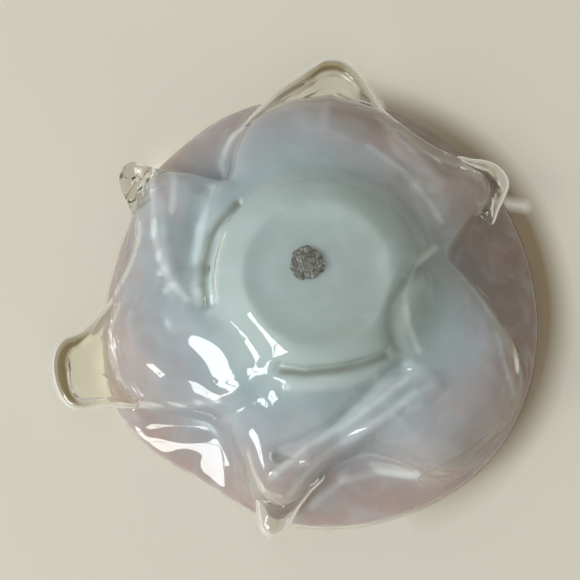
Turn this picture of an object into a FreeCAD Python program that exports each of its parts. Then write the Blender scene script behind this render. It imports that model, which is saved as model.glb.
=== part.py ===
import FreeCAD, Part
import math
import os

# An art glass bowl of cased opaline glass, standing on its foot with its mouth up.
# An opal layer is cased in clear glass. Six lobes were pinched out of the hot wall and
# pulled into clear glass: three broad loops and three narrow points, set alternately.
# The rim flares flat. The foot pad is recessed, and carries the rough pontil scar.
# Millimetres; +Z runs from the foot to the mouth.

doc = FreeCAD.newDocument("ArtGlassBowl")
Vector = FreeCAD.Vector

DRIVING_SIZES = [
    ("rim_radius", 125.0),
    ("bowl_height", 72.0),
    ("foot_radius", 40.0),
    ("pad_radius", 68.0),
    ("pad_depth", 11.0),
    ("pad_thickness", 6.0),
    ("casing_thickness", 2.6),
    ("opal_thickness", 2.4),
    ("recess_depth", 3.4),
    ("scar_radius", 9.5),
    ("scar_depth", 3.0),
    ("scar_root", 1.0),
    ("loop_bead", 5.5),
    ("loop_web", 3.4),
    ("point_root", 13.0),
]
sheet = doc.addObject("Spreadsheet::Sheet", "Sizes")
for line, (alias, value) in enumerate(DRIVING_SIZES, start=1):
    sheet.set(f"A{line}", alias)
    sheet.set(f"B{line}", str(value))
    sheet.setAlias(f"B{line}", alias)
doc.recompute()


def size(alias):
    return float(sheet.get(alias))


RIM = size("rim_radius")
HEIGHT = size("bowl_height")
# The foot was pressed a little off the middle of the rim.
FOOT_SHIFT = Vector(-6.0, -8.0, 0.0)

FOOT = size("foot_radius")
RECESS = size("recess_depth")

# ---- the shape of the wall ------------------------------------------------------------

# The foot, from the edge of its flat middle to where the wall starts: radius and height.
FOOT_ROWS = [
    (0.35 * FOOT, RECESS),
    (0.70 * FOOT, 0.9 * RECESS),
    (0.88 * FOOT, 0.3 * RECESS),
    (FOOT, -0.5 * RECESS),
    (FOOT + 7.0, 1.2),
    (FOOT + 14.0, 5.0),
    (FOOT + 20.0, 10.0),
]
WALL_START = FOOT + 21.0
WALL_TOP = 16.0
# The lobed wall: shares of the way out to the lobes' edge, and of the way down to it.
LOBE_ROWS = [(0.09, 0.00), (0.30, 0.09), (0.52, 0.24), (0.72, 0.46), (0.89, 0.76),
             (1.00, 1.00)]
# Past the edge, which stands over the flared rim: share of the gap to the rim, its limit
# in mm, and the share of the step down to the rim's face.
STEP_ROWS = [(0.12, 0.8, 0.35), (0.25, 2.2, 0.75), (0.50, 8.0, 0.96)]
# The star that the lobes' edge makes: angle in degrees and radius in mm, once round.
STAR = [(2, 96), (10, 106), (18, 116), (30, 121), (42, 120), (52, 112), (61, 100), (70, 91),
        (80, 89), (88, 96), (94, 105), (101, 110), (109, 108), (118, 99), (131, 94),
        (142, 103), (150, 115), (160, 126), (172, 127), (182, 119), (194, 112), (205, 115),
        (213, 120), (219, 120), (224, 106), (227, 86), (230, 74), (234, 84), (239, 98),
        (247, 113), (258, 124), (272, 127), (284, 123), (294, 118), (305, 115), (314, 118),
        (323, 121), (330, 113), (338, 92), (345, 76), (350, 72), (355, 83)]
# The flared rim swells outwards at three places: direction, half width, swell in mm.
RIM_SWELLS = [(40.0, 26.0, 3.5), (156.0, 24.0, 8.0), (266.0, 36.0, 6.5)]
# How each row moves into the glass: share of the depth inwards, and share upwards.
INWARD = ([(0.0, 1.0)] * 5 + [(0.5, 0.85), (0.8, 0.65)]
          + [(0.7, 0.7), (0.3, 0.95), (0.3, 0.95), (0.45, 0.9), (0.7, 0.75), (0.95, 0.45)]
          + [(1.0, 0.2), (0.8, 0.5), (0.3, 0.9)]
          + [(0.1, 1.0), (0.5, 0.9), (0.9, 0.4), (1.0, 0.0), (1.0, 0.0)])
RING_POINTS = 120


def bell(angle, centre, half_width):
    away = (angle - centre + 180.0) % 360.0 - 180.0
    return math.exp(-((away / half_width) ** 2))


def star_edge(angle):
    """The radius of the lobes' edge at one angle: a smooth curve through the star."""
    count = len(STAR)
    turned = angle + 360.0 if angle < STAR[0][0] else angle
    k = max(index for index in range(count) if STAR[index][0] <= turned)

    def station(index):
        return STAR[index % count][0] + 360.0 * (index // count), STAR[index % count][1]

    def slope(index):
        (before, low), (after, high) = station(index - 1), station(index + 1)
        return (high - low) / (after - before)

    (start, here), (end, there) = station(k), station(k + 1)
    span = end - start
    part = (turned - start) / span
    return ((1 + 2 * part) * (1 - part) ** 2 * here
            + part * (1 - part) ** 2 * span * slope(k)
            + part ** 2 * (3 - 2 * part) * there
            + part ** 2 * (part - 1) * span * slope(k + 1))


def wall_outline(angle):
    """The wall's outer outline at one angle: a list of (radius, height)."""
    rim = RIM + sum(extra * bell(angle, at, wide) for at, wide, extra in RIM_SWELLS)
    edge = min(star_edge(angle), rim - 3.5)
    edge_height = HEIGHT - 19.0 - 0.33 * (120.0 - edge)
    gap = rim - edge
    outline = list(FOOT_ROWS)
    for out, down in LOBE_ROWS:
        outline.append((WALL_START + out * (edge - WALL_START),
                        WALL_TOP + down * (edge_height - WALL_TOP)))
    face = HEIGHT - 9.0 - 0.10 * gap
    for share, limit, down in STEP_ROWS:
        outline.append((edge + min(share * gap, limit),
                        edge_height + down * (face - edge_height)))
    stepped = outline[-1][0]
    outline.append((stepped + 0.55 * (rim - 4.0 - stepped),
                    0.45 * face + 0.55 * (HEIGHT - 6.0)))
    outline.append((rim - 3.0, HEIGHT - 5.5))
    outline.append((rim - 0.6, HEIGHT - 3.0))
    outline.append((rim, HEIGHT))
    outline.append((rim, HEIGHT + 4.0))
    return outline


def inside_of(outline, depths):
    """The outline moved into the glass by each row's depth."""
    return [(radius - depth * inwards, height + depth * upwards)
            for (radius, height), depth, (inwards, upwards)
            in zip(outline, depths, INWARD)]


def skin(depths):
    """A solid of the bowl's outer shape, shrunk by each row's depth."""
    rows = len(INWARD)
    poles = []
    for step in range(RING_POINTS):
        angle = 360.0 * step / RING_POINTS
        ray = Vector(math.cos(math.radians(angle)), math.sin(math.radians(angle)), 0.0)
        column = []
        outline = wall_outline(angle)
        for (outer, _), (radius, height) in zip(outline, inside_of(outline, depths)):
            shift = FOOT_SHIFT * (1.0 - min(1.0, outer / RIM) ** 2)
            column.append(ray * radius + shift + Vector(0.0, 0.0, height))
        poles.append(column)
    around = list(range(RING_POINTS + 1))
    upwards = list(range(rows - 2))
    surface = Part.BSplineSurface()
    surface.buildFromPolesMultsKnots(
        poles, [1] * len(around), [4] + [1] * (rows - 4) + [4],
        around, upwards, True, False, 3, 3)
    wall = surface.toShape()
    ends = [Part.Face(Part.Wire([edge])) for edge in wall.Edges
            if edge.isClosed() and edge.BoundBox.ZLength < 0.01]
    shell = Part.makeShell([wall] + ends)
    shell.sewShape()
    return Part.makeSolid(shell)


def shape_object(name, shape):
    feature = doc.addObject("Part::Feature", name)
    feature.Shape = shape
    return feature


# The casing is thick under the foot and thin in the wall.
PAD_ROWS = len(FOOT_ROWS)
casing_depths = [size("pad_thickness") if row < PAD_ROWS else size("casing_thickness")
                 for row in range(len(INWARD))]
casing_depths[PAD_ROWS - 1] = 0.5 * (size("pad_thickness") + size("casing_thickness"))
opal_depths = [depth + size("opal_thickness") for depth in casing_depths]

outer_skin = shape_object("outer_skin", skin([0.0] * len(INWARD)))
middle_skin = shape_object("middle_skin", skin(casing_depths))
inner_skin = shape_object("inner_skin", skin(opal_depths))

# The slab between the plane the foot is ground to and the plane of the mouth.
slab = doc.addObject("Part::Box", "slab")
for side in ("Length", "Width"):
    slab.setExpression(side, "Sizes.rim_radius * 4")
slab.setExpression("Height", "Sizes.bowl_height")
slab.Placement.Base = Vector(-2.0 * RIM, -2.0 * RIM, 0.0)


def boolean(kind, name, base, tool):
    feature = doc.addObject(kind, name)
    feature.Base = base
    feature.Tool = tool
    return feature


outer = boolean("Part::Common", "outer_trimmed", outer_skin, slab)
middle = boolean("Part::Common", "middle_trimmed", middle_skin, slab)

# ---- opal layer -----------------------------------------------------------------------
# The milky layer, which lines the whole bowl from the floor to the edge of the rim.
opal_layer = boolean("Part::Cut", "opal_layer", middle, inner_skin)

# ---- clear casing and foot pad --------------------------------------------------------
# The clear layer over the opal. Its thick end under the floor is the foot pad, which is
# pressed on as a gather of its own and ends at the groove around it.
casing_whole = boolean("Part::Cut", "casing_whole", outer, middle_skin)
pad_zone = doc.addObject("Part::Cylinder", "pad_zone")
pad_zone.setExpression("Radius", "Sizes.pad_radius")
pad_zone.setExpression("Height", "Sizes.pad_depth * 2")
pad_zone.Placement.Base = FOOT_SHIFT - Vector(0.0, 0.0, size("pad_depth"))
clear_casing = boolean("Part::Cut", "clear_casing", casing_whole, pad_zone)
foot_pad = boolean("Part::Common", "foot_pad", casing_whole, pad_zone)

# ---- pontil scar ----------------------------------------------------------------------
# The rough chip of glass left in the recess where the pontil rod was cracked off.
scar_body = doc.addObject("PartDesign::Body", "scar_body")
scar_sketch = scar_body.newObject("Sketcher::SketchObject", "scar_outline")
flat_plane = [item for item in scar_body.Origin.OriginFeatures if item.Role == "XY_Plane"][0]
scar_sketch.AttachmentSupport = [(flat_plane, "")]
scar_sketch.MapMode = "FlatFace"
CHIPS = [1.0, 0.88, 1.04, 0.93, 1.06, 0.9, 1.0, 0.82, 0.97, 1.05, 0.9]
corners = []
for step, chip in enumerate(CHIPS):
    turn = 2.0 * math.pi * step / len(CHIPS)
    corners.append(Vector(chip * size("scar_radius") * math.cos(turn),
                          chip * size("scar_radius") * math.sin(turn), 0.0))
for step, corner in enumerate(corners):
    following = corners[(step + 1) % len(corners)]
    scar_sketch.addGeometry(Part.LineSegment(corner, following), False)
scar_pad = scar_body.newObject("PartDesign::Pad", "scar_chip")
scar_pad.Profile = scar_sketch
scar_pad.setExpression("Length", "Sizes.scar_depth")
scar_pad.Reversed = True
scar_body.Tip = scar_pad
SCAR_OFFSET = Vector(-4.5, -5.5, 0.0)
scar_body.Placement.Base = FOOT_SHIFT + SCAR_OFFSET + Vector(0, 0, RECESS + size("scar_root"))
pontil_scar = boolean("Part::Cut", "pontil_scar", scar_body, outer)

# ---- pulled loops and points ----------------------------------------------------------
# Each is drawn as a tapering run of oval sections from inside the lobe out to its tip,
# and then cut away where the bowl's own outline is.


def pulled_run(name, angle, stations):
    """A loft of ovals. Each station: radius, height, half width, half thickness, veer."""
    sections = []
    for number, (radius, height, half_width, half_thick, veer) in enumerate(stations):
        oval = doc.addObject("Part::Ellipse", f"{name}_oval_{number}")
        wide_first = half_width >= half_thick
        oval.MajorRadius = half_width if wide_first else half_thick
        oval.MinorRadius = half_thick if wide_first else half_width
        turn = math.radians(angle)
        ray = Vector(math.cos(turn), math.sin(turn), 0.0)
        across = Vector(-math.sin(turn), math.cos(turn), 0.0)
        up = Vector(0.0, 0.0, 1.0)
        first = across if wide_first else up
        second = up if wide_first else across * -1.0
        place = FreeCAD.Matrix(first.x, second.x, ray.x, 0.0,
                               first.y, second.y, ray.y, 0.0,
                               first.z, second.z, ray.z, 0.0,
                               0.0, 0.0, 0.0, 1.0)
        oval.Placement = FreeCAD.Placement(place)
        oval.Placement.Base = ray * radius + across * veer + up * height
        sections.append(oval)
    run = doc.addObject("Part::Loft", f"{name}_run")
    run.Sections = sections
    run.Solid = True
    return run


def broad_loop(name, angle, tip_radius, half_width, height, lean):
    """A flattened loop: a round bead in a U, with a thin web of glass inside it."""
    bead = size("loop_bead")
    start = 0.72 * RIM
    reach = tip_radius - start
    run = pulled_run(name, angle, [
        (start, height, half_width * 1.2, bead * 1.25, 0.0),
        (start + 0.35 * reach, height + 0.3 * lean, half_width * 1.12, bead * 1.1, 0.0),
        (start + 0.65 * reach, height + 0.6 * lean, half_width, bead, 0.0),
        (start + 0.85 * reach, height + 0.85 * lean, half_width * 0.86, bead * 0.95, 0.0),
        (start + 0.95 * reach, height + 0.95 * lean, half_width * 0.66, bead * 0.75, 0.0),
        (start + 0.99 * reach, height + lean, half_width * 0.42, bead * 0.45, 0.0),
        (start + reach, height + lean, half_width * 0.28, bead * 0.2, 0.0),
    ])
    turn = math.radians(angle)
    dished = boolean("Part::Cut", f"{name}_trimmed", run, outer)
    web_at = start + 0.66 * reach
    for side, word in ((1.0, "top"), (-1.0, "under")):
        dish = doc.addObject("Part::Ellipsoid", f"{name}_{word}_dish")
        dish.Radius1 = bead
        dish.Radius2 = 0.27 * reach
        dish.Radius3 = half_width * 0.68
        dish.Placement = FreeCAD.Placement(Vector(), FreeCAD.Rotation(Vector(0, 0, 1), angle))
        off_web = 0.5 * size("loop_web") + bead
        dish.Placement.Base = Vector(web_at * math.cos(turn), web_at * math.sin(turn),
                                     height + 0.62 * lean + side * off_web)
        is_last = side < 0
        dished = boolean("Part::Cut", name if is_last else f"{name}_{word}_dished",
                         dished, dish)
    return dished


def narrow_point(name, angle, tip_radius, height, lift, hook):
    """A short horn of clear glass, round in section, with a blunt tip."""
    root = size("point_root")
    start = 0.72 * RIM
    reach = tip_radius - start
    run = pulled_run(name, angle, [
        (start, height, root * 1.35, root * 0.85, 0.0),
        (start + 0.40 * reach, height + 0.25 * lift, root * 1.05, root * 0.68, 0.15 * hook),
        (start + 0.68 * reach, height + 0.6 * lift, root * 0.78, root * 0.52, 0.45 * hook),
        (start + 0.86 * reach, height + 0.85 * lift, root * 0.60, root * 0.42, 0.8 * hook),
        (start + 0.95 * reach, height + 0.95 * lift, root * 0.43, root * 0.32, 0.95 * hook),
        (start + 0.99 * reach, height + lift, root * 0.24, root * 0.18, hook),
        (start + reach, height + lift, root * 0.12, root * 0.09, hook),
    ])
    return boolean("Part::Cut", name, run, outer)


# Broad loops: where they point, how far out, half width, height, and how far they lean.
broad_loops = [
    broad_loop("broad_loop_a", 39.0, 131.0, 35.0, 0.70 * HEIGHT, 4.0),
    broad_loop("broad_loop_b", 165.5, 159.5, 23.0, 0.72 * HEIGHT, 3.0),
    broad_loop("broad_loop_c", 273.0, 149.0, 29.0, 0.70 * HEIGHT, 5.0),
]
narrow_points = [
    narrow_point("narrow_point_a", 100.0, 136.0, 0.74 * HEIGHT, 3.0, 3.0),
    narrow_point("narrow_point_b", 216.0, 136.0, 0.70 * HEIGHT, 2.0, -6.0),
    narrow_point("narrow_point_c", 323.0, 131.0, 0.68 * HEIGHT, 2.0, 3.0),
]

doc.recompute()

# ---- check, centre and write ----------------------------------------------------------
sub_parts = [opal_layer, clear_casing, foot_pad, pontil_scar] + broad_loops + narrow_points
for item in doc.Objects:
    if "Invalid" in item.State or "Error" in item.State:
        raise RuntimeError(f"{item.Label} failed to recompute")

# The origin is the middle of the whole piece's box, on the plane that the foot rests on.
whole = Part.makeCompound([item.Shape for item in sub_parts])
box = whole.optimalBoundingBox(False, False)
to_origin = Vector(-0.5 * (box.XMin + box.XMax), -0.5 * (box.YMin + box.YMax), 0.0)

os.makedirs("parts", exist_ok=True)
for item in sub_parts:
    item.Label = item.Name
    shape = item.Shape.copy()
    shape.translate(to_origin)
    if shape.isNull() or not shape.isValid():
        raise RuntimeError(f"{item.Label} is not a valid shape")
    if not shape.Solids:
        raise RuntimeError(f"{item.Label} holds no solid")
    shape.exportStep(f"parts/{item.Label}.step")
    print(f"{item.Label}: {len(shape.Solids)} solid, {shape.Volume / 1000.0:.1f} cm3")
print(f"overall {box.XLength:.1f} x {box.YLength:.1f} x {box.ZLength:.1f} mm")
print(f"rim centre at {to_origin.x:.2f}, {to_origin.y:.2f} mm")
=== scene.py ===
# An art glass bowl: opaline glass cased in clear glass, with six pulls of clear glass
# around its wall. It stands on its foot, mouth up, and is looked at from underneath, as
# if it lay upside down on a table.
import math

import bmesh
import bpy
import numpy as np
from mathutils import Matrix, Vector


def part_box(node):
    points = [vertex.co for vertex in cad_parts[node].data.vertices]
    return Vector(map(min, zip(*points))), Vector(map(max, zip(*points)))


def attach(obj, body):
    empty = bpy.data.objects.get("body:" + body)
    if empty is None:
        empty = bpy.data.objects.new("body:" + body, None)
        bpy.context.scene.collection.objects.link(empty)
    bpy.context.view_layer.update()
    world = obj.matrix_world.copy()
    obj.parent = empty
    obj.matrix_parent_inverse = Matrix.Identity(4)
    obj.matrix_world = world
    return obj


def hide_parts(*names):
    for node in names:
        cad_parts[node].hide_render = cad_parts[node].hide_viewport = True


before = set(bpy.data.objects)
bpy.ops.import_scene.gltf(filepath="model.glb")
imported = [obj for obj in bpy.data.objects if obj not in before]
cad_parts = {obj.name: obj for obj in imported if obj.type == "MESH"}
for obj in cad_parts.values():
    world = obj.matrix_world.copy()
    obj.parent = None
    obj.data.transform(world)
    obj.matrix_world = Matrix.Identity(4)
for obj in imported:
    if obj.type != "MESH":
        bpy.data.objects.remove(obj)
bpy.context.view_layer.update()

# ---- camera ---------------------------------------------------------------------------
# It looks up at the foot from 78 degrees below the level of the rim, from the +Y side,
# through a long lens, so that +X is to the right and +Y is down in the picture.
MM = 0.001
CAMERA_AWAY = 0.865
pad_low, pad_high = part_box("foot_pad")
rim_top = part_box("clear_casing")[1].z
foot_middle = (pad_low + pad_high) / 2
rim_middle = Vector((foot_middle.x + 4.89 * MM, foot_middle.y + 6.40 * MM, rim_top))
view_elevation = math.radians(78.0)
camera_data = bpy.data.cameras.new("camera")
camera_data.lens = 92.0
camera = bpy.data.objects.new("camera", camera_data)
bpy.context.scene.collection.objects.link(camera)
bpy.context.scene.camera = camera
forward = Vector((0.0, -math.cos(view_elevation), math.sin(view_elevation)))
looked_at = rim_middle + Vector((-19.5, -13.5, 0.0)) * MM
camera.location = looked_at - forward * CAMERA_AWAY
camera.rotation_mode = "QUATERNION"
up_in_picture = Vector((0.0, -math.sin(view_elevation), -math.cos(view_elevation)))
right_in_picture = forward.cross(up_in_picture)
turn = [[right_in_picture[i], up_in_picture[i], -forward[i]] for i in range(3)]
camera.rotation_quaternion = Matrix(turn).to_quaternion()

# ---- table, floor and light -----------------------------------------------------------
# Two pale sheets that show on one side only: a table at the rim, which faces down
# and backs the main view, and the floor that the foot stands on, which faces up. The
# floor is plain; the table's colour carries a painted shadow and painted streaks of light.
# A low window with two panes lights them, with a soft glow round it.


class Socket:
    """Shader maths: an expression on these adds the Math nodes that work it out."""

    def __init__(self, maker, out):
        self.maker, self.out = maker, out

    def _math(self, operation, first, second):
        return self.maker.node("ShaderNodeMath", {"operation": operation},
                               {0: first, 1: second})

    def __add__(self, other):
        return self._math("ADD", self, other)

    __radd__ = __add__

    def __mul__(self, other):
        return self._math("MULTIPLY", self, other)

    __rmul__ = __mul__

    def __sub__(self, other):
        return self._math("SUBTRACT", self, other)

    def __rsub__(self, other):
        return self._math("SUBTRACT", other, self)

    def __truediv__(self, other):
        return self._math("DIVIDE", self, other)

    def power(self, other):
        return self._math("POWER", self, other)

    def clipped(self):
        return self._math("MAXIMUM", self._math("MINIMUM", self, 1.0), 0.0)


class Shader:
    """One material, and the one method that adds a node to it."""

    def __init__(self, name):
        self.material = bpy.data.materials.new(name)
        self.material.use_nodes = True
        self.tree = self.material.node_tree
        self.tree.nodes.clear()
        self.surface = self.tree.nodes.new("ShaderNodeOutputMaterial").inputs["Surface"]

    def node(self, kind, settings=None, inputs=None, out=0):
        made = self.tree.nodes.new(kind)
        for key, value in (settings or {}).items():
            if key == "stops":
                ramp = made.color_ramp
                while len(ramp.elements) < len(value):
                    ramp.elements.new(0.5)
                for element, (at, colour) in zip(ramp.elements, value):
                    element.position, element.color = at, colour
            else:
                setattr(made, key, value)
        for key, value in (inputs or {}).items():
            if isinstance(value, Socket):
                self.tree.links.new(value.out, made.inputs[key])
            else:
                made.inputs[key].default_value = value
        return Socket(self, made.outputs[out])

    def end(self, shader):
        self.tree.links.new(shader.out, self.surface)
        return self.material

    def place(self):
        return self.node("ShaderNodeTexCoord", out="Object")


def rgb(red, green, blue, alpha=1.0):
    """A colour given as the eye reads it, from 0 to 255, made linear."""
    def linear(part):
        part /= 255.0
        return part / 12.92 if part <= 0.04045 else ((part + 0.055) / 1.055) ** 2.4
    return (linear(red), linear(green), linear(blue), alpha)


# Painted light: streaks of light that the pulls gather on the table, painted into its
# colour, as lines: ends and half width in mm.
LIGHT_STREAKS = [((13, -152), (34, -128), 3.6), ((34, -128), (43, -111), 3.2),
                 ((109, -66), (119, -64), 5.5), ((-92, -92), (-100, -88), 2.5),
                 ((-8, -131), (14, -134), 13.0)]


def one_sided_sheet(name, height, faces_up, half, colour, warm_shade):
    mesh = bpy.data.meshes.new(name)
    shape = bmesh.new()
    bmesh.ops.create_grid(shape, x_segments=1, y_segments=1, size=half)
    if not faces_up:
        bmesh.ops.reverse_faces(shape, faces=shape.faces)
    bmesh.ops.translate(shape, verts=shape.verts, vec=(rim_middle.x, rim_middle.y, height))
    shape.to_mesh(mesh)
    shape.free()
    sheet = bpy.data.objects.new(name, mesh)
    bpy.context.scene.collection.objects.link(sheet)
    look = Shader(name)
    grain = look.node("ShaderNodeTexNoise", inputs={"Vector": look.place(), "Scale": 900.0,
                                                    "Detail": 3.0})
    bump = look.node("ShaderNodeBump", inputs={"Height": grain, "Strength": 0.06,
                                               "Distance": 0.0004})
    cloudy = look.node("ShaderNodeTexNoise", inputs={"Vector": look.place(), "Scale": 5.0,
                                                     "Detail": 2.0})
    tone = look.node("ShaderNodeMix", {"data_type": "RGBA"},
                     {"Factor": cloudy, 6: colour, 7: tuple(0.93 * c for c in colour[:3])
                      + (1.0,)}, out=2)
    # Painted shadow: a warm brown shade mixed into the table's colour beside the bowl's rim, on
    # its +X side.
    if warm_shade:
        apart = look.node("ShaderNodeSeparateXYZ", inputs={0: look.place()})
        x = apart - (rim_middle.x + 3.0 * MM)
        y = Socket(look, apart.out.node.outputs["Y"]) - (rim_middle.y - 3.0 * MM)
        away = (x * x + y * y).power(0.5)
        facing = ((x * 0.97 - y * 0.24) / away - 0.10).clipped().power(0.6)
        near = (1.0 - (away - 128.0 * MM) / (16.0 * MM)).clipped().power(1.2)
        tone = look.node("ShaderNodeMix", {"data_type": "RGBA"}, {
            "Factor": facing * near * 0.85, 6: tone, 7: rgb(116, 88, 30)}, out=2)
        # Painted light: pale streaks mixed into the table's colour under the pulls.
        for (x0, y0), (x1, y1), wide in LIGHT_STREAKS:
            long_x, long_y = (x1 - x0) * MM, (y1 - y0) * MM
            from_x = apart - (rim_middle.x + x0 * MM)
            from_y = Socket(look, apart.out.node.outputs["Y"]) - (rim_middle.y + y0 * MM)
            along = ((from_x * long_x + from_y * long_y)
                     * (1.0 / (long_x ** 2 + long_y ** 2))).clipped()
            off_x, off_y = from_x - along * long_x, from_y - along * long_y
            streak = (1.0 - (off_x * off_x + off_y * off_y).power(0.5) / (wide * MM)).clipped()
            tone = look.node("ShaderNodeMix", {"data_type": "RGBA"}, {
                "Factor": streak * 0.9, 6: tone, 7: rgb(250, 248, 240)}, out=2)
    skin = look.node("ShaderNodeBsdfPrincipled",
                     inputs={"Base Color": tone, "Roughness": 0.55,
                             "Specular IOR Level": 0.25, "Normal": bump})
    behind = look.node("ShaderNodeNewGeometry", out="Backfacing")
    clear = look.node("ShaderNodeBsdfTransparent")
    mesh.materials.append(look.end(look.node("ShaderNodeMixShader",
                                             inputs={0: behind, 1: skin, 2: clear})))
    sheet.visible_shadow = False
    return sheet


one_sided_sheet("table", rim_top + 0.3 * MM, False, 1.6, rgb(241, 238, 224), True)
floor = one_sided_sheet("floor", 0.0, True, 12.0, rgb(226, 223, 210), False)
floor.visible_glossy = False
floor.visible_diffuse = False
floor.visible_transmission = False

world = bpy.data.worlds.new("room")
bpy.context.scene.world = world
world.use_nodes = True
room = world.node_tree
sky = room.nodes["Background"]
ways = room.nodes.new("ShaderNodeTexCoord")
toward = room.nodes.new("ShaderNodeVectorMath")
toward.operation = "DOT_PRODUCT"
toward.inputs[1].default_value = Vector((-0.70, 0.52, -0.49)).normalized()
room.links.new(ways.outputs["Generated"], toward.inputs[0])
walls = room.nodes.new("ShaderNodeValToRGB")
for stop, (at, colour) in zip([walls.color_ramp.elements[0], walls.color_ramp.elements[1],
                               walls.color_ramp.elements.new(0.5)],
                              [(0.05, rgb(180, 175, 162)), (0.92, rgb(252, 252, 248)),
                               (0.55, rgb(206, 204, 196))]):
    stop.position, stop.color = at, colour
half_way = room.nodes.new("ShaderNodeMath")
half_way.operation = "MULTIPLY_ADD"
half_way.inputs[1].default_value, half_way.inputs[2].default_value = 0.5, 0.5
room.links.new(toward.outputs["Value"], half_way.inputs[0])
room.links.new(half_way.outputs[0], walls.inputs["Fac"])
room.links.new(walls.outputs["Color"], sky.inputs["Color"])
sky.inputs["Strength"].default_value = 0.85
bpy.context.scene.view_settings.view_transform = "Standard"


def area_light(name, at, aimed_at, width, height, power, colour):
    data = bpy.data.lights.new(name, "AREA")
    data.shape = "RECTANGLE"
    data.size, data.size_y = width, height
    data.energy = power
    data.color = colour
    lamp = bpy.data.objects.new(name, data)
    bpy.context.scene.collection.objects.link(lamp)
    lamp.location = at
    lamp.rotation_mode = "QUATERNION"
    lamp.rotation_quaternion = (aimed_at - at).to_track_quat("-Z", "Y")
    return lamp


# The window: two tall panes side by side with a bar between, low on the near left.
WINDOW_AWAY = 2.4
window_way = Vector((-0.62, 0.48, -0.62)).normalized()
window_at = rim_middle + window_way * WINDOW_AWAY
window_side = Vector((0.0, 0.0, 1.0)).cross(window_way).normalized()
for number, offset in enumerate((-0.225, 0.225)):
    pane = area_light(f"window_pane_{number}", window_at + window_side * offset,
                      rim_middle + window_side * offset, 0.40, 0.98, 17.0, (1.0, 1.0, 0.99))
    pane.visible_diffuse = False
glow_at = rim_middle + Vector((-0.78, 0.16, -0.60)).normalized() * WINDOW_AWAY
window_glow = area_light("window_glow", glow_at, rim_middle, 0.5, 0.6, 10.0,
                         (1.0, 0.99, 0.965))
window_glow.visible_glossy = False
area_light("top_softbox", rim_middle + Vector((0.3, -0.5, 1.6)), rim_middle, 1.4, 1.4,
           14.0, (1.0, 0.99, 0.97))

# ---- opal layer -----------------------------------------------------------------------
# The milky inside layer of the bowl, blown first and dipped in clear glass. It runs from
# the floor, over six pinched lobes, to the flared rim, and shows through the casing.
# All sizes here are millimetres, about the middle of the rim, with z up from the foot.
RIM_RADIUS = 125.0
BOWL_HEIGHT = 72.0
FOOT_SHIFT = (-6.0, -8.0)
# The foot, from its middle to where the wall starts: radius and height of each row.
FOOT_ROWS = [(0.0, 3.4), (14.0, 3.4), (28.0, 3.06), (35.2, 1.02), (40.0, -1.7), (47.0, 1.2),
             (54.0, 5.0), (60.0, 10.0)]
WALL_START = 61.0
WALL_TOP = 16.0
# The lobed wall, as shares of the way out to the lobes' edge and of the way down to it.
LOBE_ROWS = [(0.09, 0.00), (0.30, 0.08), (0.52, 0.17), (0.72, 0.27), (0.89, 0.60),
             (1.0, 1.0)]
# Past the edge, which stands over the flared rim: share of the gap, its limit in mm, and
# the share of the step down to the rim's face.
STEP_ROWS = [(0.12, 0.8, 0.35), (0.25, 2.2, 0.75), (0.50, 8.0, 0.96)]
# The star that the lobes' edge makes: angle and radius, once round.
STAR = [(2, 96), (10, 108), (18, 119), (30, 124), (42, 120), (51, 120), (57, 114), (63, 100),
        (70, 91), (80, 89), (88, 95), (93, 104), (97, 114), (101, 120), (106, 121),
        (110, 116), (114, 107), (120, 98), (131, 94), (142, 103), (150, 115), (160, 126),
        (172, 127), (182, 119), (194, 112), (205, 118), (213, 125), (219, 125), (223, 112),
        (227, 96), (231, 86), (235, 89), (240, 100), (247, 113), (258, 124), (272, 127),
        (284, 123), (294, 118), (305, 115), (314, 118), (323, 122), (329, 113), (335, 96),
        (341, 83), (347, 78), (354, 85)]
# Where the flared rim swells or is drawn in: direction, half width, and how far.
RIM_SWELLS = [(40.0, 26.0, 3.5), (126.0, 16.0, -5.0), (156.0, 24.0, 8.0), (217.0, 9.0, 3.0),
              (236.0, 22.0, 4.0), (266.0, 36.0, 6.5)]
# The row at which the wall turns over into the bowl.
LIP_ROW = 19.3


def bell(away, half_width):
    return np.exp(-((away / half_width) ** 2))


def turned_away(angle, centre):
    return (angle - centre + 180.0) % 360.0 - 180.0


def around(stations, angle):
    """A smooth closed curve through stations of (angle, value), read at each angle."""
    at = np.array([place for place, _ in stations], float)
    value = np.array([size for _, size in stations], float)
    at = np.concatenate([at[-2:] - 360.0, at, at[:3] + 360.0])
    value = np.concatenate([value[-2:], value, value[:3]])
    slope = np.gradient(value, at)
    angle = np.where(angle < at[2], angle + 360.0, angle)
    k = np.clip(np.searchsorted(at, angle, side="right") - 1, 0, len(at) - 2)
    span = at[k + 1] - at[k]
    part = (angle - at[k]) / span
    return ((1 + 2 * part) * (1 - part) ** 2 * value[k]
            + part * (1 - part) ** 2 * span * slope[k]
            + part ** 2 * (3 - 2 * part) * value[k + 1]
            + part ** 2 * (part - 1) * span * slope[k + 1])


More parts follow.
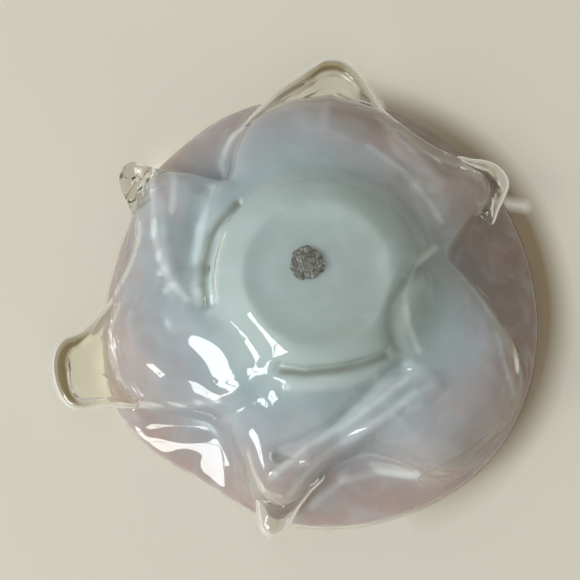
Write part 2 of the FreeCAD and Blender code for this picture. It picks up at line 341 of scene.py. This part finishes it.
def wall_rows(angle):
    """Radius and height of every row of the wall's outer face, at each angle."""
    rim = RIM_RADIUS + sum(extra * bell(turned_away(angle, at), wide)
                           for at, wide, extra in RIM_SWELLS)
    edge = np.minimum(around(STAR, angle), rim - 3.5)
    edge_z = 53.0 - 0.33 * (120.0 - edge)
    gap = rim - edge
    drop = 5.0 * bell(turned_away(angle, 143.0), 28.0)
    rows = [(r + 0 * angle, z + drop * bell(r - 52.0, 11.0)) for r, z in FOOT_ROWS]
    for out, down in LOBE_ROWS:
        rows.append((WALL_START + out * (edge - WALL_START),
                     WALL_TOP + down * (edge_z - WALL_TOP)))
    face_z = 63.0 - 0.10 * gap - 2.2 * bell(turned_away(angle, 140.0), 24.0)
    last_r = edge
    for share, limit, down in STEP_ROWS:
        last_r = edge + np.minimum(share * gap, limit)
        rows.append((last_r, edge_z + down * (face_z - edge_z)))
    rows.append((last_r + 0.55 * (rim - 4.0 - last_r), 0.45 * face_z + 0.55 * 66.0))
    rows.append((rim - 3.0, 66.5 + 0 * angle))
    rows.append((rim - 0.6, 69.0 + 0 * angle))
    rows.append((rim, BOWL_HEIGHT + 0 * angle))
    rows.append((rim, BOWL_HEIGHT + 4.0 + 0 * angle))
    return (np.array([r for r, _ in rows]), np.array([z for _, z in rows]))


def row_blend(table, row):
    """A smooth curve through each angle's rows, at a fractional row."""
    last = len(table) - 1
    ends = np.concatenate([2 * table[:1] - table[1:2], table,
                           2 * table[last:] - table[last - 1:last],
                           2 * table[last:] - table[last - 1:last]])
    first = np.clip(row.astype(int), 0, last - 1)
    part = row - first
    weights = ((1 - part) ** 3, 3 * part ** 3 - 6 * part ** 2 + 4,
               -3 * part ** 3 + 3 * part ** 2 + 3 * part + 1, part ** 3)
    column = np.arange(table.shape[1])
    return sum(weight * ends[first + step, column]
               for step, weight in enumerate(weights)) / 6.0


# Where the hot wall was pinched: a line of places (x, y), how far it stands out of the
# wall (less than nothing is a groove), and half its width.
PINCHES = [
    ([(-48, -51), (-56, -42), (-62, -34), (-66, -18), (-66, -5), (-65, 7)], -4.4, 2.9),
    ([(-26, 43), (-11, 46), (8, 44), (24, 40), (33, 36)], -4.4, 2.9),
    ([(52, -14), (44, -2), (37, 8), (35, 21), (38, 31)], -5.0, 5.0),
    ([(42, 43), (33, 49), (18, 62), (5, 74), (-10, 82), (-25, 88)], -4.5, 5.0),
    ([(58, 50), (45, 57), (38, 60), (24, 70), (10, 80), (-9, 89)], 4.0, 5.0),
    ([(-66, 8), (-54, 17), (-43, 27), (-37, 37)], -1.4, 6.0),
    ([(-78, 12), (-67, 22), (-57, 31), (-49, 44)], 2.2, 7.0),
    ([(-117, 52), (-79, 56), (-64, 57), (-51, 55), (-40, 48)], 0.9, 3.5),
    ([(-100, 66), (-79, 68), (-55, 68), (-38, 60)], -3.0, 6.0),
    ([(-105, -53), (-105, -37), (-110, -19), (-119, -4)], 2.0, 4.0),
    ([(-99, -68), (-90, -51), (-90, -33), (-85, -14), (-76, 5)], 2.0, 4.0),
    ([(-66, -62), (-73, -40), (-75, -18)], -6.0, 7.0),
    ([(4, -124), (3, -112), (1, -100)], 1.4, 3.5),
    ([(41, -91), (66, -66), (88, -66)], 2.5, 5.0),
    ([(66, -36), (80, -50)], -3.0, 7.0),
    ([(-108, 20), (-102, 31), (-90, 43)], 2.0, 9.0),
]
# Fine cords in the clear glass, drawn along the folds as it was pulled: the same three.
CORDS = [
    ([(-57, -77), (-60, -88), (-54, -103), (-43, -113), (-25, -123)], 1.0, 1.5),
    ([(-99, -76), (-96, -62), (-95, -40), (-91, -20), (-84, -6), (-76, 3)], 1.2, 1.5),
    ([(-108, -62), (-103, -40), (-108, -20), (-118, -4)], 1.0, 1.4),
    ([(-88, -78), (-84, -66), (-86, -48)], 1.0, 1.6),
    ([(-118, 53), (-95, 57), (-75, 58), (-58, 58)], 1.1, 1.3),
    ([(-30, 99), (-10, 83), (10, 72), (30, 58), (44, 46)], 1.1, 1.5),
    ([(-20, 107), (-4, 88), (14, 77), (36, 64), (47, 54)], 0.9, 1.5),
    ([(-8, 112), (10, 98), (30, 93), (52, 95)], 1.2, 1.7),
    ([(38, -110), (50, -97), (66, -88), (84, -84)], 1.0, 1.4),
    ([(30, -104), (48, -84), (72, -76), (90, -76)], 0.8, 1.4),
    ([(88, -10), (98, 8), (106, 28), (109, 44)], 1.2, 1.6),
    ([(93, 20), (97, 36), (104, 52)], 1.0, 1.2),
    ([(24, -85), (44, -70), (58, -52), (64, -42)], 0.9, 1.4),
    ([(-70, -40), (-71, -22), (-71, -6), (-69, 6)], 0.9, 1.8),
    ([(-56, -34), (-60, -20), (-61, -6), (-60, 4)], 0.9, 2.2),
    ([(-22, 51), (-8, 52), (10, 50), (26, 45)], 0.8, 2.0),
    ([(60, -26), (48, -14), (42, 4), (44, 20), (50, 32)], 1.0, 1.4),
    ([(-8, -32), (-20, -32), (-27, -24), (-27, -16)], -0.5, 1.3),
]
# The bars pressed in beside the foot, along which the opal's colour is darkened as painted
# shade in these creases.
PAINTED_GROOVE_SHADE = [
    ([(-49, -50), (-57, -41), (-63, -33), (-66, -18), (-67, -5), (-66, 5)], 1.0, 2.6),
    ([(-23, 44), (-11, 45), (8, 43), (24, 39), (31, 36)], 1.0, 2.6),
    ([(50, -12), (42, -2), (37, 8), (35, 21), (38, 30)], 0.5, 4.0),
]


def relief(x, y, lines):
    """How far the folds in a list of lines move a face out at each place."""
    moved = 0.0 * x
    for line, height, half_width in lines:
        nearest = np.full(x.shape, 1e9)
        for (x0, y0), (x1, y1) in zip(line, line[1:]):
            long_x, long_y = x1 - x0, y1 - y0
            along = ((x - x0) * long_x + (y - y0) * long_y) / (long_x ** 2 + long_y ** 2)
            along = np.clip(along, 0.0, 1.0)
            nearest = np.minimum(nearest, np.hypot(x - x0 - along * long_x,
                                                   y - y0 - along * long_y))
        moved = moved + height * bell(nearest, half_width)
    return moved


def wall_points(row, angle, depth, lift, lines):
    """Points of the wall, in metres: depth is how far they lie inside its outer face."""
    radii, heights = wall_rows(angle)
    radius, height = row_blend(radii, row), row_blend(heights, row)
    ahead, back = row + 0.15, np.maximum(row - 0.15, 0.0)
    along_r = row_blend(radii, ahead) - row_blend(radii, back)
    along_z = row_blend(heights, ahead) - row_blend(heights, back)
    length = np.hypot(along_r, along_z)
    turn = np.radians(angle)
    shift = 1.0 - np.minimum(1.0, radius / RIM_RADIUS) ** 2
    x = radius * np.cos(turn) + FOOT_SHIFT[0] * shift
    y = radius * np.sin(turn) + FOOT_SHIFT[1] * shift
    flat = np.where(row > 0.05, along_z / length, 0.0)
    upright = np.where(row > 0.05, along_r / length, 1.0)
    fades = np.clip((LIP_ROW - row) / 2.0, 0.0, 1.0)
    depth = depth - relief(x, y, lines) * fades
    x = x - depth * flat * np.cos(turn)
    y = y - depth * flat * np.sin(turn)
    z = height + depth * upright + lift
    z = np.where(z < 1.5, 0.5 * (z + np.sqrt(z * z + 0.16)), z)
    return (rim_middle.x + x * MM, rim_middle.y + y * MM, z * MM)


def spun_wall(name, courses, steps, lines):
    """A closed skin. Each course is (row, depth, lift); the first and last are its poles."""
    shape = bmesh.new()
    chain = [shape.verts.new((float(number), 0.0, 0.0)) for number in range(len(courses))]
    edges = [shape.edges.new(pair) for pair in zip(chain, chain[1:])]
    bmesh.ops.spin(shape, geom=chain + edges, cent=(0, 0, 0), axis=(0, 0, 1),
                   angle=2 * math.pi, steps=steps, use_merge=True)
    bmesh.ops.remove_doubles(shape, verts=shape.verts, dist=1e-4)
    rings = np.array([(vert.co.x, vert.co.y) for vert in shape.verts])
    number = np.rint(np.hypot(rings[:, 0], rings[:, 1])).astype(int)
    angle = np.degrees(np.arctan2(rings[:, 1], rings[:, 0])) % 360.0
    row, depth, lift = (np.array(courses)[number, k] for k in range(3))
    x, y, z = wall_points(row, angle, depth, lift, lines)
    for vert, place in zip(shape.verts, zip(x, y, z)):
        vert.co = place
    bmesh.ops.holes_fill(shape, edges=shape.edges, sides=0)
    bmesh.ops.recalc_face_normals(shape, faces=shape.faces)
    mesh = bpy.data.meshes.new(name)
    shape.to_mesh(mesh)
    shape.free()
    for label, drawn in (("cords", CORDS), ("grooves", PAINTED_GROOVE_SHADE)):
        drawn = relief(x / MM - rim_middle.x / MM, y / MM - rim_middle.y / MM, drawn)
        drawn = np.where(depth < 3.2, drawn, 0.0)
        paint = mesh.color_attributes.new(label, "FLOAT_COLOR", "POINT")
        shades = np.clip(np.column_stack([drawn, drawn, drawn, 1.0 + 0 * drawn]), 0.0, 1.0)
        paint.data.foreach_set("color", shades.ravel())
    for face in mesh.polygons:
        face.use_smooth = True
    piece = bpy.data.objects.new(name, mesh)
    bpy.context.scene.collection.objects.link(piece)
    return piece


def wall_courses(outer_depth, inner_depth, outer_rows, inner_rows, lip_row, lip_steps=8):
    """Down the outer face to the lip, round it, and back up the inner face."""
    half = 0.5 * (inner_depth - outer_depth)
    middle = 0.5 * (inner_depth + outer_depth)
    made = [(lip_row * k / outer_rows, outer_depth, 0.0) for k in range(outer_rows)]
    for k in range(lip_steps + 1):
        turn = math.pi * k / lip_steps
        made.append((lip_row, middle - half * math.cos(turn), half * math.sin(turn)))
    made += [(lip_row * (1.0 - k / inner_rows), inner_depth, 0.0)
             for k in range(1, inner_rows + 1)]
    return made


opal = spun_wall("opal_wall", wall_courses(2.0, 4.5, 120, 50, LIP_ROW - 0.25), 400,
                 PINCHES)
AQUA, GREY, LAVENDER, MAUVE = (rgb(170, 183, 182), rgb(156, 170, 174), rgb(158, 161, 166),
                               rgb(164, 148, 142))


def opal_shader(name):
    """Milky glass: aqua over the foot, lavender grey in the wall, mauve at the rim, with
    painted shade towards +X, the +X -Y corner and the grooves, and a faint glow as painted
    light.
    """
    look = Shader(name)
    centred = look.node("ShaderNodeMapping", {"vector_type": "POINT"}, {
        "Vector": look.place(),
        "Location": (-foot_middle.x, -foot_middle.y, 0.0)})
    apart = look.node("ShaderNodeSeparateXYZ", inputs={0: centred})
    across, along = apart, Socket(look, apart.out.node.outputs["Y"])
    away = (across * across + along * along).power(0.5) * (1.0 / (135.0 * MM))
    drift = look.node("ShaderNodeTexNoise", {"noise_dimensions": "3D"}, {
        "Vector": look.place(), "Scale": 14.0, "Detail": 2.0, "Distortion": 0.8})
    zone = look.node("ShaderNodeValToRGB", {"stops": [
        (0.0, AQUA), (0.40, AQUA), (0.50, GREY), (0.68, LAVENDER), (0.92, MAUVE)]},
        {"Fac": away + (drift - 0.5) * 0.30})
    # Painted shade: the colour darkens towards the +X side over the foot and lower wall, and
    # towards the +X -Y corner.
    painted_shade_right = ((across + 30.0 * MM) * (1.0 / (110.0 * MM))).clipped()
    inside = ((0.62 - away) * 5.0).clipped()
    zone = look.node("ShaderNodeMix", {"data_type": "RGBA"}, {
        "Factor": painted_shade_right * inside * 0.62, 6: zone, 7: rgb(116, 120, 108)}, out=2)
    painted_shade_corner = ((across * 0.8 - along * 0.6 - 45.0 * MM) * (1.0 / (60.0 * MM))).clipped()
    zone = look.node("ShaderNodeMix", {"data_type": "RGBA"}, {
        "Factor": painted_shade_corner * 0.9, 6: zone, 7: rgb(142, 122, 108)}, out=2)
    blush = look.node("ShaderNodeTexNoise", inputs={
        "Vector": look.place(), "Scale": 26.0, "Detail": 4.0, "Distortion": 2.2})
    zone = look.node("ShaderNodeMix", {"data_type": "RGBA"}, {
        "Factor": ((blush - 0.54) * 5.0).clipped() * (away - 0.3).clipped() * 0.7,
        6: zone, 7: rgb(188, 158, 148)}, out=2)
    veil = look.node("ShaderNodeTexNoise", inputs={
        "Vector": look.place(), "Scale": 32.0, "Detail": 3.0, "Distortion": 1.6})
    milk = look.node("ShaderNodeMix", {"data_type": "RGBA"}, {
        "Factor": (veil - 0.44).clipped() * 1.1, 6: zone, 7: rgb(184, 194, 200)}, out=2)
    # Painted shade: the opal's colour is darkened along the bars beside the foot.
    grooves = look.node("ShaderNodeVertexColor", {"layer_name": "grooves"})
    milk = look.node("ShaderNodeMix", {"data_type": "RGBA"}, {
        "Factor": grooves * 0.75, 6: milk, 7: rgb(112, 113, 100)}, out=2)
    cords = look.node("ShaderNodeVertexColor", {"layer_name": "cords"})
    milk = look.node("ShaderNodeMix", {"data_type": "RGBA"}, {
        "Factor": cords * 0.4, 6: milk, 7: rgb(198, 204, 208)}, out=2)
    # The opal glows faintly in its own colour (Emission 0.13): painted light standing in for
    # light scattered through the milky glass.
    body = look.node("ShaderNodeBsdfPrincipled", inputs={
        "Base Color": milk, "Roughness": 0.35, "IOR": 1.45, "Specular IOR Level": 0.0,
        "Subsurface Weight": 0.6, "Subsurface Scale": 0.006,
        "Subsurface Radius": (1.0, 1.1, 1.2),
        "Emission Color": milk, "Emission Strength": 0.13})
    shadow_side = look.node("ShaderNodeLightPath", out="Is Shadow Ray")
    warm = look.node("ShaderNodeBsdfTransparent", inputs={"Color": rgb(140, 112, 62)})
    look.end(look.node("ShaderNodeMixShader", inputs={0: shadow_side, 1: body, 2: warm}))
    return look.material


opal.data.materials.append(opal_shader("opal_glass"))
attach(opal, "root")
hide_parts("opal_layer")

# ---- clear casing ---------------------------------------------------------------------
# The clear outer layer, gathered over the opal and fire polished, thicker at the foot.
casing = spun_wall("casing_wall", wall_courses(0.0, 2.3, 130, 30, LIP_ROW), 480,
                   PINCHES + [(line, 0.65 * height, wide) for line, height, wide in CORDS])


def clear_shader(name, tint, roughness, thickness=None, deep_tint=None):
    """Polished clear glass, which lets the light through where it casts a shadow."""
    look = Shader(name)
    colour = tint
    if thickness:
        deep = look.node("ShaderNodeVertexColor", {"layer_name": thickness})
        colour = look.node("ShaderNodeMix", {"data_type": "RGBA"}, {
            "Factor": ((deep - 0.42) * 3.0).clipped(), 6: tint, 7: deep_tint}, out=2)
    ripple = look.node("ShaderNodeTexNoise", inputs={
        "Vector": look.place(), "Scale": 60.0, "Detail": 1.0, "Distortion": 0.6})
    wavy = look.node("ShaderNodeBump", inputs={"Height": ripple, "Strength": 0.12,
                                               "Distance": 0.0008})
    clear_body = look.node("ShaderNodeBsdfPrincipled", inputs={
        "Base Color": colour, "Roughness": roughness, "IOR": 1.5,
        "Transmission Weight": 1.0, "Normal": wavy})
    shadow_side = look.node("ShaderNodeLightPath", out="Is Shadow Ray")
    see_through = look.node("ShaderNodeBsdfTransparent", inputs={"Color": tint})
    look.end(look.node("ShaderNodeMixShader", inputs={
        0: shadow_side, 1: clear_body, 2: see_through}))
    return look.material


casing.data.materials.append(clear_shader("casing_glass", rgb(250, 252, 250), 0.015))
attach(casing, "root")
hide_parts("clear_casing", "foot_pad")

# ---- broad loops ----------------------------------------------------------------------
# Clear glass pinched from the wall with tongs and pulled out flat: a round bead runs from
# the lobe's edge to the tip and back, and a thin web of the same glass fills it.
pulled_glass = clear_shader("pulled_glass", rgb(247, 247, 240), 0.01, "thickness",
                            rgb(148, 134, 102))


def closed_path(places, count):
    """Evenly spaced points on a smooth closed curve through a few places."""
    places = np.array(places, float)
    around_it = np.vstack([places[-1:], places, places[:2]])
    fine = []
    for k in range(len(places)):
        a, b, c, d = around_it[k:k + 4]
        for u in np.linspace(0.0, 1.0, 40, endpoint=False):
            fine.append(0.5 * (2 * b + (c - a) * u + (2 * a - 5 * b + 4 * c - d) * u * u
                               + (3 * b - a - 3 * c + d) * u ** 3))
    fine = np.array(fine + [fine[0]])
    length = np.concatenate([[0.0], np.cumsum(np.hypot(*np.diff(fine[:, :2], axis=0).T))])
    even = np.linspace(0.0, length[-1], count, endpoint=False)
    return np.column_stack([np.interp(even, length, fine[:, k]) for k in range(4)])


def wall_height(x, y):
    """How high the wall's outer face is over each place, out to its rim."""
    shift = 1.0 - np.minimum(1.0, np.hypot(x, y) / RIM_RADIUS) ** 2
    across, along = x - FOOT_SHIFT[0] * shift, y - FOOT_SHIFT[1] * shift
    angle = np.degrees(np.arctan2(along, across)) % 360.0
    radii, heights = wall_rows(angle)
    rows = [np.full(x.shape, row) for row in np.arange(6.0, 19.6, 0.25)]
    radii = np.array([row_blend(radii, row) for row in rows])
    heights = np.array([row_blend(heights, row) for row in rows])
    return np.array([np.interp(away, radii[:, k], heights[:, k], right=BOWL_HEIGHT)
                     for k, away in enumerate(np.hypot(across, along))])


def pulled_piece(name, glass, edge, middle, web, folds, steps=240, bands=56):
    """Pulled glass: a round bead along its edge (x, y, z, radius), thin web inside it."""
    path = closed_path(edge, steps)
    ahead = np.roll(path, -1, axis=0) - np.roll(path, 1, axis=0)
    reach = np.array(middle[:2]) - path[:, :2]
    wide = np.hypot(*reach.T)
    square = np.abs(ahead[:, 0] * reach[:, 1] - ahead[:, 1] * reach[:, 0])
    square = square / (np.hypot(*ahead[:, :2].T) * wide)
    shape = bmesh.new()
    bmesh.ops.create_uvsphere(shape, u_segments=steps, v_segments=bands, radius=1.0)
    ball = np.array([tuple(vert.co) for vert in shape.verts])
    at = np.rint(np.arctan2(ball[:, 1], ball[:, 0]) / (2 * math.pi) * steps).astype(int) % steps
    inward = (np.abs(np.arcsin(np.clip(ball[:, 2], -1, 1))) / (0.5 * math.pi)) ** 1.8
    x = path[at, 0] + inward * reach[at, 0]
    y = path[at, 1] + inward * reach[at, 1]
    from_edge, bead = inward * wide[at] * square[at], path[at, 3]
    inner = np.clip((from_edge - 1.2 * bead) / (0.9 * bead), 0.0, 1.0)
    half = np.where(from_edge < bead,
                    np.sqrt(np.maximum(bead ** 2 - (bead - from_edge) ** 2, 0.0)),
                    bead + (web - bead) * inner * inner * (3 - 2 * inner))
    half = np.maximum(half + relief(x, y, folds) * np.minimum(from_edge / 3.0, 1.0), 0.0)
    z = path[at, 2] + inward * (middle[2] - path[at, 2])
    buried = wall_height(x, y) + 3.4
    top, bottom = np.minimum(z + half, buried + 0.3), np.minimum(z - half, buried - 0.3)
    z = np.where(ball[:, 2] > 0.0, top, bottom)
    for vert, place in zip(shape.verts, zip(x, y, z)):
        vert.co = Vector((rim_middle.x, rim_middle.y, 0.0)) + Vector(place) * MM
    bmesh.ops.recalc_face_normals(shape, faces=shape.faces)
    mesh = bpy.data.meshes.new(f"{name}_glass")
    shape.to_mesh(mesh)
    shape.free()
    paint = mesh.color_attributes.new("thickness", "FLOAT_COLOR", "POINT")
    thick = np.clip((top - bottom) / 13.0, 0.0, 1.0)
    paint.data.foreach_set("color", np.column_stack([thick, thick, thick,
                                                     1.0 + 0 * thick]).ravel())
    for face in mesh.polygons:
        face.use_smooth = True
    piece = bpy.data.objects.new(f"{name}_glass", mesh)
    bpy.context.scene.collection.objects.link(piece)
    mesh.materials.append(glass)
    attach(piece, "root")
    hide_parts(name)
    return piece


# The top loop: a rounded triangle. Its last places lie inside the lobe's wall.
pulled_piece("broad_loop_c", pulled_glass, [
    (-46, -106, 49, 2.2), (-36, -120, 51, 3.2), (-26, -130, 52, 4.0), (-14, -139, 53, 4.6),
    (-5, -146, 53, 5.0), (3, -149, 53, 5.4), (11, -148, 53, 5.2), (18, -143, 53, 4.6),
    (24, -136, 53, 4.2), (29, -127, 52, 3.8), (36, -116, 51, 3.2), (46, -106, 49, 2.2),
    (26, -113, 52, 1.8), (0, -118, 53, 1.8), (-26, -114, 52, 1.8)],
    (2, -131, 53), 1.7, [([(0, -146), (-6, -132), (-14, -124)], 0.8, 3.0)])
# The left loop: blunt, with the thickest bead.
pulled_piece("broad_loop_b", pulled_glass, [
    (-112, -12, 47, 2.2), (-122, -2, 49, 3.0), (-132, 9, 51, 3.8), (-140, 15, 53, 5.0),
    (-148, 18, 53, 5.8), (-153.5, 24, 54, 6.6), (-155.5, 33, 54, 7.0), (-154, 43, 54, 7.0),
    (-150, 52, 54, 6.4), (-144, 58, 53, 5.0), (-136, 60, 52, 3.8), (-124, 58, 51, 3.0),
    (-104, 58, 49, 2.2), (-112, 44, 52, 1.7), (-116, 26, 52, 1.7), (-113, 4, 50, 1.7)],
    (-133, 34, 53), 1.6, [([(-136, 22), (-139, 34), (-135, 46)], -0.3, 3.0)])
# The right loop: a sliver that lies close along the edge of its lobe.
pulled_piece("broad_loop_a", pulled_glass, [
    (108, 22, 53, 1.0), (113, 36, 55, 1.6), (113, 50, 56, 2.0), (108, 63, 57, 2.2),
    (98, 74, 57, 2.2), (86, 84, 57, 2.2), (75, 93, 56, 2.0), (63, 101, 55, 1.8),
    (52, 98, 54, 1.2), (62, 91, 54, 1.2), (78, 82, 55, 1.2), (92, 70, 55, 1.2),
    (102, 56, 55, 1.2), (105, 40, 54, 1.2)],
    (95, 72, 56), 1.3, [])

# ---- narrow points --------------------------------------------------------------------
# Short horns of the same clear glass, pinched up between the loops, drawn out and nipped
# off round. The wall's own fold runs into each.
nipped_glass = clear_shader("nipped_glass", rgb(238, 240, 236), 0.01, "thickness",
                            rgb(222, 217, 208))
pulled_piece("narrow_point_a", nipped_glass, [
    (-42, 84, 52, 3.0), (-43, 95, 52, 4.0), (-40, 103, 52, 5.0), (-38.5, 112, 52, 5.8),
    (-38, 120, 53, 6.6), (-36, 127, 54, 7.0), (-29.5, 131, 54, 7.2), (-23, 128, 54, 7.0),
    (-18, 121, 53, 6.0), (-14, 114, 52, 5.0), (-8, 106, 52, 4.0), (0, 96, 52, 3.0),
    (-14, 90, 53, 3.0), (-28, 86, 53, 3.0)],
    (-28, 113, 52), 6.6, [([(-34, 92), (-32, 106), (-31, 118)], 1.2, 2.4),
                          ([(-18, 92), (-22, 104), (-25, 114)], -1.4, 2.2),
                          ([(-14, 100), (-19, 110), (-23, 120)], 0.9, 1.8)])
pulled_piece("narrow_point_b", nipped_glass, [
    (-88, -76, 47, 3.0), (-96, -80, 49, 3.4), (-104, -83, 51, 4.0), (-111, -85, 52, 4.6),
    (-116, -82.5, 53, 4.8), (-118.5, -77, 53, 4.6), (-117, -69, 53, 4.2),
    (-113.5, -61, 52, 3.6), (-110, -53, 51, 3.0), (-106, -44, 48, 2.2), (-100, -50, 48, 2.4),
    (-95, -62, 47, 3.0)],
    (-104, -69, 51), 2.4, [([(-112, -78), (-106, -66), (-102, -54)], 1.6, 2.2),
                           ([(-100, -78), (-108, -70), (-112, -62)], 1.2, 1.6)])
pulled_piece("narrow_point_c", nipped_glass, [
    (76, -86, 48, 2.6), (86, -86.5, 50, 3.6), (95, -85.5, 51, 4.6), (101.5, -82.5, 52, 5.2),
    (106, -77.5, 53, 5.4), (107.5, -71.5, 53, 5.2), (105, -64, 52, 4.6),
    (101, -56, 50, 3.8), (96, -46, 47, 2.8), (87, -52, 46, 3.0), (80, -66, 46, 3.0)],
    (94, -70, 51), 4.2, [([(86, -80), (94, -77), (101, -68)], 1.4, 1.8),
                         ([(100, -74), (97, -62), (94, -54)], 1.0, 1.6)])

# ---- pontil scar ----------------------------------------------------------------------
# The rough chip left in the recess where the pontil rod was cracked off: dark grey, full
# of bright broken facets, with a chipped edge.
scar_low, scar_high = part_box("pontil_scar")
scar_middle = (scar_low + scar_high) / 2
shape = bmesh.new()
bmesh.ops.create_uvsphere(shape, u_segments=96, v_segments=48, radius=1.0)
for vert in shape.verts:
    turn = math.atan2(vert.co.y, vert.co.x)
    ragged = 1.0 + 0.05 * math.sin(3 * turn + 1.0) + 0.04 * math.sin(7 * turn)
    ragged += 0.025 * math.sin(13 * turn + 2.0)
    flat = Vector((vert.co.x, vert.co.y, 0.0)) * ragged * 9.3
    chips = (math.sin(2.9 * flat.x + 1.3 * flat.y) * math.sin(2.3 * flat.y - 0.7 * flat.x)
             + 0.6 * math.sin(5.1 * flat.x) * math.sin(4.7 * flat.y))
    tall = 1.6 * vert.co.z + (0.28 * chips if vert.co.z < 0.0 else 0.0)
    vert.co = scar_middle + Vector((flat.x, flat.y, tall + 0.6)) * MM
bmesh.ops.recalc_face_normals(shape, faces=shape.faces)
scar_mesh = bpy.data.meshes.new("pontil_chip")
shape.to_mesh(scar_mesh)
shape.free()
scar = bpy.data.objects.new("pontil_chip", scar_mesh)
bpy.context.scene.collection.objects.link(scar)
look = Shader("scar_glass")
facets = look.node("ShaderNodeTexVoronoi", {"feature": "F1"}, {
    "Vector": look.place(), "Scale": 650.0, "Randomness": 1.0})
cells = Socket(look, facets.out.node.outputs["Color"])
speckle = look.node("ShaderNodeTexNoise", inputs={
    "Vector": look.place(), "Scale": 420.0, "Detail": 6.0, "Roughness": 0.8})
grey = look.node("ShaderNodeValToRGB", {"stops": [
    (0.34, rgb(44, 45, 45)), (0.48, rgb(112, 112, 106)), (0.58, rgb(150, 152, 146)),
    (0.68, rgb(228, 230, 226))]}, {"Fac": speckle})
rough = look.node("ShaderNodeBump", inputs={"Height": cells, "Strength": 0.9,
                                            "Distance": 0.0006})
look.end(look.node("ShaderNodeBsdfPrincipled", inputs={
    "Base Color": grey, "Roughness": 0.28, "Normal": rough}))
scar_mesh.materials.append(look.material)
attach(scar, "root")
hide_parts("pontil_scar")
